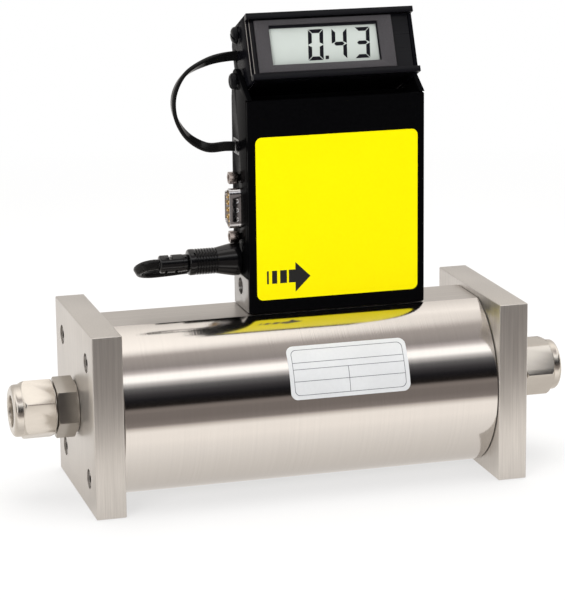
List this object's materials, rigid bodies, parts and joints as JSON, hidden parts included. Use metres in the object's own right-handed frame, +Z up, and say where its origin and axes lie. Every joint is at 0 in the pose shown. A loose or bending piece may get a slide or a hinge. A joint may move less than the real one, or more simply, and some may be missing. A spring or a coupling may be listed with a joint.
{
  "type": "mass flow meter",
  "caption": "Thermal gas mass flow meter: round steel flow tube between square end plates with tube fittings, upright black sensor head with tilting display, power cord and adapter.",
  "frame": {"origin": "on the surface it stands on, midway between the two end plates, below the flow tube's axis", "axes": "+X along the gas flow from inlet to outlet, -Y towards the display's side, +Z up"},
  "size_m": [0.24, 0.166, 0.1983],
  "materials": {
    "stainless": "satin",
    "screw_steel": "satin",
    "plated": "satin",
    "aluminium": "satin",
    "black_anodised": "satin",
    "black_screw": "satin",
    "gloss_black": "gloss",
    "matte_black": "satin",
    "rubber": "matte",
    "copper": "satin",
    "board": "satin",
    "amber": "satin",
    "bezel": "matte",
    "lcd_glass": "gloss"
  },
  "bodies": {
    "meter": {"flow_tube": "stainless", "inlet_end_plate": "stainless", "outlet_end_plate": "stainless", "inlet_end_plate_screw_1": "screw_steel", "inlet_end_plate_screw_2": "screw_steel", "inlet_end_plate_screw_3": "screw_steel", "inlet_end_plate_screw_4": "screw_steel", "outlet_end_plate_screw_1": "screw_steel", "outlet_end_plate_screw_2": "screw_steel", "outlet_end_plate_screw_3": "screw_steel", "outlet_end_plate_screw_4": "screw_steel", "inlet_end_plate_o_ring": "rubber", "outlet_end_plate_o_ring": "rubber", "laminar_flow_element": "stainless", "inlet_screen": "stainless", "outlet_screen": "stainless", "inlet_fitting_body": "stainless", "inlet_fitting_nut": "stainless", "inlet_front_ferrule": "stainless", "inlet_back_ferrule": "stainless", "outlet_fitting_body": "stainless", "outlet_fitting_nut": "stainless", "outlet_front_ferrule": "stainless", "outlet_back_ferrule": "stainless", "sensor_base_block": "aluminium", "base_seal_upstream": "rubber", "base_seal_downstream": "rubber", "base_screw_1": "screw_steel", "base_screw_2": "screw_steel", "port_plug": "screw_steel", "sensor_tube": "screw_steel", "sensor_winding_upstream": "copper", "sensor_winding_downstream": "copper", "housing_shell": "gloss_black", "front_cover": "gloss_black", "circuit_board": "board", "d_connector_shell": "plated", "d_connector_contacts": "amber", "d_jackscrew_lower": "plated", "d_jackscrew_upper": "plated", "power_jack": "matte_black", "lead_socket": "matte_black", "lead_plug": "matte_black", "power_plug": "matte_black", "plug_strain_relief": "rubber", "power_cord": "rubber", "power_cord_coil": "rubber", "power_cord_end": "rubber", "power_adapter": "matte_black", "display_lead": "rubber"},
    "display_head": {"display_case": "black_anodised", "display_cheek_left": "black_anodised", "display_cheek_right": "black_anodised", "display_bezel": "bezel", "display_glass": "lcd_glass", "display_board": "board", "pivot_screw_left": "black_screw", "pivot_screw_right": "black_screw", "cheek_screw_left": "black_screw", "cheek_screw_right": "black_screw"}
  },
  "joints": [
    {"name": "display_tilt", "type": "hinge", "parent": "meter", "child": "display_head", "pos_m": [0.0177, 0.0062, 0.16921], "axis": [-1, 0, 0], "range_deg": [-23.3, 66.7], "deforming": ["display_lead"]}
  ]
}
